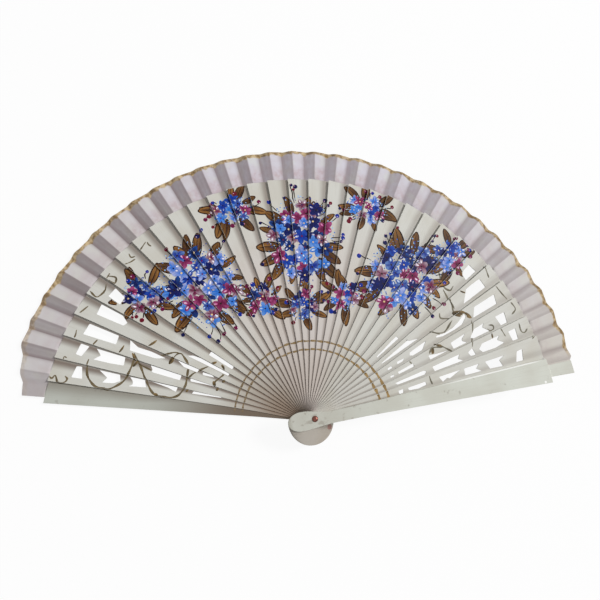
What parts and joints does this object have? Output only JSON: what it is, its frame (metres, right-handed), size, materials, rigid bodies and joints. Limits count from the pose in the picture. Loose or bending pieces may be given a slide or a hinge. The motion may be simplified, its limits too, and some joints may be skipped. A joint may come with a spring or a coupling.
{
  "type": "folding hand fan",
  "caption": "Folding hand fan with pierced wooden ribs between two guards on one rivet and a pleated cloth leaf with a gilt edge, lying open.",
  "frame": {"origin": "on the rivet's axis, at the flat foot of the rivet on the back", "axes": "+Z along the rivet out of the painted front; +X to the right, towards the front guard; +Y from the rivet to the middle of the leaf"},
  "size_m": [0.4035, 0.2267, 0.029],
  "materials": {
    "white_wood": "thin wood with a matt off-white paint",
    "cloth": "thin stiffened pleated cotton",
    "copper": "polished copper-coloured rivet"
  },
  "bodies": {
    "back_guard": {"back_guard": "white_wood", "rivet": "copper", "leaf": "cloth"},
    "rib_01": {"rib_01": "white_wood"},
    "rib_02": {"rib_02": "white_wood"},
    "rib_03": {"rib_03": "white_wood"},
    "rib_04": {"rib_04": "white_wood"},
    "rib_05": {"rib_05": "white_wood"},
    "rib_06": {"rib_06": "white_wood"},
    "rib_07": {"rib_07": "white_wood"},
    "rib_08": {"rib_08": "white_wood"},
    "rib_09": {"rib_09": "white_wood"},
    "rib_10": {"rib_10": "white_wood"},
    "rib_11": {"rib_11": "white_wood"},
    "rib_12": {"rib_12": "white_wood"},
    "rib_13": {"rib_13": "white_wood"},
    "rib_14": {"rib_14": "white_wood"},
    "rib_15": {"rib_15": "white_wood"},
    "rib_16": {"rib_16": "white_wood"},
    "rib_17": {"rib_17": "white_wood"},
    "rib_18": {"rib_18": "white_wood"},
    "rib_19": {"rib_19": "white_wood"},
    "rib_20": {"rib_20": "white_wood"},
    "rib_21": {"rib_21": "white_wood"},
    "rib_22": {"rib_22": "white_wood"},
    "rib_23": {"rib_23": "white_wood"},
    "rib_24": {"rib_24": "white_wood"},
    "rib_25": {"rib_25": "white_wood"},
    "rib_26": {"rib_26": "white_wood"},
    "rib_27": {"rib_27": "white_wood"},
    "rib_28": {"rib_28": "white_wood"},
    "rib_29": {"rib_29": "white_wood"},
    "rib_30": {"rib_30": "white_wood"},
    "rib_31": {"rib_31": "white_wood"},
    "front_guard": {"front_guard": "white_wood"}
  },
  "joints": [
    {"name": "fold_01", "type": "hinge", "parent": "back_guard", "child": "rib_01", "pos_m": [0, 0, 0], "axis": [0, 0, 1], "range_deg": [0, 5.09], "deforming": ["leaf"]},
    {"name": "fold_02", "type": "hinge", "parent": "rib_01", "child": "rib_02", "pos_m": [0, 0, 0], "axis": [0, 0, 1], "range_deg": [0, 5.09], "deforming": ["leaf"]},
    {"name": "fold_03", "type": "hinge", "parent": "rib_02", "child": "rib_03", "pos_m": [0, 0, 0], "axis": [0, 0, 1], "range_deg": [0, 5.09], "deforming": ["leaf"]},
    {"name": "fold_04", "type": "hinge", "parent": "rib_03", "child": "rib_04", "pos_m": [0, 0, 0], "axis": [0, 0, 1], "range_deg": [0, 5.09], "deforming": ["leaf"]},
    {"name": "fold_05", "type": "hinge", "parent": "rib_04", "child": "rib_05", "pos_m": [0, 0, 0], "axis": [0, 0, 1], "range_deg": [0, 5.09], "deforming": ["leaf"]},
    {"name": "fold_06", "type": "hinge", "parent": "rib_05", "child": "rib_06", "pos_m": [0, 0, 0], "axis": [0, 0, 1], "range_deg": [0, 5.09], "deforming": ["leaf"]},
    {"name": "fold_07", "type": "hinge", "parent": "rib_06", "child": "rib_07", "pos_m": [0, 0, 0], "axis": [0, 0, 1], "range_deg": [0, 5.09], "deforming": ["leaf"]},
    {"name": "fold_08", "type": "hinge", "parent": "rib_07", "child": "rib_08", "pos_m": [0, 0, 0], "axis": [0, 0, 1], "range_deg": [0, 5.09], "deforming": ["leaf"]},
    {"name": "fold_09", "type": "hinge", "parent": "rib_08", "child": "rib_09", "pos_m": [0, 0, 0], "axis": [0, 0, 1], "range_deg": [0, 5.09], "deforming": ["leaf"]},
    {"name": "fold_10", "type": "hinge", "parent": "rib_09", "child": "rib_10", "pos_m": [0, 0, 0], "axis": [0, 0, 1], "range_deg": [0, 5.09], "deforming": ["leaf"]},
    {"name": "fold_11", "type": "hinge", "parent": "rib_10", "child": "rib_11", "pos_m": [0, 0, 0], "axis": [0, 0, 1], "range_deg": [0, 5.09], "deforming": ["leaf"]},
    {"name": "fold_12", "type": "hinge", "parent": "rib_11", "child": "rib_12", "pos_m": [0, 0, 0], "axis": [0, 0, 1], "range_deg": [0, 5.09], "deforming": ["leaf"]},
    {"name": "fold_13", "type": "hinge", "parent": "rib_12", "child": "rib_13", "pos_m": [0, 0, 0], "axis": [0, 0, 1], "range_deg": [0, 5.09], "deforming": ["leaf"]},
    {"name": "fold_14", "type": "hinge", "parent": "rib_13", "child": "rib_14", "pos_m": [0, 0, 0], "axis": [0, 0, 1], "range_deg": [0, 5.09], "deforming": ["leaf"]},
    {"name": "fold_15", "type": "hinge", "parent": "rib_14", "child": "rib_15", "pos_m": [0, 0, 0], "axis": [0, 0, 1], "range_deg": [0, 5.09], "deforming": ["leaf"]},
    {"name": "fold_16", "type": "hinge", "parent": "rib_15", "child": "rib_16", "pos_m": [0, 0, 0], "axis": [0, 0, 1], "range_deg": [0, 5.09], "deforming": ["leaf"]},
    {"name": "fold_17", "type": "hinge", "parent": "rib_16", "child": "rib_17", "pos_m": [0, 0, 0], "axis": [0, 0, 1], "range_deg": [0, 5.09], "deforming": ["leaf"]},
    {"name": "fold_18", "type": "hinge", "parent": "rib_17", "child": "rib_18", "pos_m": [0, 0, 0], "axis": [0, 0, 1], "range_deg": [0, 5.09], "deforming": ["leaf"]},
    {"name": "fold_19", "type": "hinge", "parent": "rib_18", "child": "rib_19", "pos_m": [0, 0, 0], "axis": [0, 0, 1], "range_deg": [0, 5.09], "deforming": ["leaf"]},
    {"name": "fold_20", "type": "hinge", "parent": "rib_19", "child": "rib_20", "pos_m": [0, 0, 0], "axis": [0, 0, 1], "range_deg": [0, 5.09], "deforming": ["leaf"]},
    {"name": "fold_21", "type": "hinge", "parent": "rib_20", "child": "rib_21", "pos_m": [0, 0, 0], "axis": [0, 0, 1], "range_deg": [0, 5.09], "deforming": ["leaf"]},
    {"name": "fold_22", "type": "hinge", "parent": "rib_21", "child": "rib_22", "pos_m": [0, 0, 0], "axis": [0, 0, 1], "range_deg": [0, 5.09], "deforming": ["leaf"]},
    {"name": "fold_23", "type": "hinge", "parent": "rib_22", "child": "rib_23", "pos_m": [0, 0, 0], "axis": [0, 0, 1], "range_deg": [0, 5.09], "deforming": ["leaf"]},
    {"name": "fold_24", "type": "hinge", "parent": "rib_23", "child": "rib_24", "pos_m": [0, 0, 0], "axis": [0, 0, 1], "range_deg": [0, 5.09], "deforming": ["leaf"]},
    {"name": "fold_25", "type": "hinge", "parent": "rib_24", "child": "rib_25", "pos_m": [0, 0, 0], "axis": [0, 0, 1], "range_deg": [0, 5.09], "deforming": ["leaf"]},
    {"name": "fold_26", "type": "hinge", "parent": "rib_25", "child": "rib_26", "pos_m": [0, 0, 0], "axis": [0, 0, 1], "range_deg": [0, 5.09], "deforming": ["leaf"]},
    {"name": "fold_27", "type": "hinge", "parent": "rib_26", "child": "rib_27", "pos_m": [0, 0, 0], "axis": [0, 0, 1], "range_deg": [0, 5.09], "deforming": ["leaf"]},
    {"name": "fold_28", "type": "hinge", "parent": "rib_27", "child": "rib_28", "pos_m": [0, 0, 0], "axis": [0, 0, 1], "range_deg": [0, 5.09], "deforming": ["leaf"]},
    {"name": "fold_29", "type": "hinge", "parent": "rib_28", "child": "rib_29", "pos_m": [0, 0, 0], "axis": [0, 0, 1], "range_deg": [0, 5.09], "deforming": ["leaf"]},
    {"name": "fold_30", "type": "hinge", "parent": "rib_29", "child": "rib_30", "pos_m": [0, 0, 0], "axis": [0, 0, 1], "range_deg": [0, 5.09], "deforming": ["leaf"]},
    {"name": "fold_31", "type": "hinge", "parent": "rib_30", "child": "rib_31", "pos_m": [0, 0, 0], "axis": [0, 0, 1], "range_deg": [0, 5.09], "deforming": ["leaf"]},
    {"name": "fold_32", "type": "hinge", "parent": "rib_31", "child": "front_guard", "pos_m": [0, 0, 0], "axis": [0, 0, 1], "range_deg": [0, 5.09], "deforming": ["leaf"]}
  ],
  "couplings": [
    {"joint": "fold_02", "follows": "fold_01", "ratio": 1},
    {"joint": "fold_03", "follows": "fold_01", "ratio": 1},
    {"joint": "fold_04", "follows": "fold_01", "ratio": 1},
    {"joint": "fold_05", "follows": "fold_01", "ratio": 1},
    {"joint": "fold_06", "follows": "fold_01", "ratio": 1},
    {"joint": "fold_07", "follows": "fold_01", "ratio": 1},
    {"joint": "fold_08", "follows": "fold_01", "ratio": 1},
    {"joint": "fold_09", "follows": "fold_01", "ratio": 1},
    {"joint": "fold_10", "follows": "fold_01", "ratio": 1},
    {"joint": "fold_11", "follows": "fold_01", "ratio": 1},
    {"joint": "fold_12", "follows": "fold_01", "ratio": 1},
    {"joint": "fold_13", "follows": "fold_01", "ratio": 1},
    {"joint": "fold_14", "follows": "fold_01", "ratio": 1},
    {"joint": "fold_15", "follows": "fold_01", "ratio": 1},
    {"joint": "fold_16", "follows": "fold_01", "ratio": 1},
    {"joint": "fold_17", "follows": "fold_01", "ratio": 1},
    {"joint": "fold_18", "follows": "fold_01", "ratio": 1},
    {"joint": "fold_19", "follows": "fold_01", "ratio": 1},
    {"joint": "fold_20", "follows": "fold_01", "ratio": 1},
    {"joint": "fold_21", "follows": "fold_01", "ratio": 1},
    {"joint": "fold_22", "follows": "fold_01", "ratio": 1},
    {"joint": "fold_23", "follows": "fold_01", "ratio": 1},
    {"joint": "fold_24", "follows": "fold_01", "ratio": 1},
    {"joint": "fold_25", "follows": "fold_01", "ratio": 1},
    {"joint": "fold_26", "follows": "fold_01", "ratio": 1},
    {"joint": "fold_27", "follows": "fold_01", "ratio": 1},
    {"joint": "fold_28", "follows": "fold_01", "ratio": 1},
    {"joint": "fold_29", "follows": "fold_01", "ratio": 1},
    {"joint": "fold_30", "follows": "fold_01", "ratio": 1},
    {"joint": "fold_31", "follows": "fold_01", "ratio": 1},
    {"joint": "fold_32", "follows": "fold_01", "ratio": 1}
  ]
}
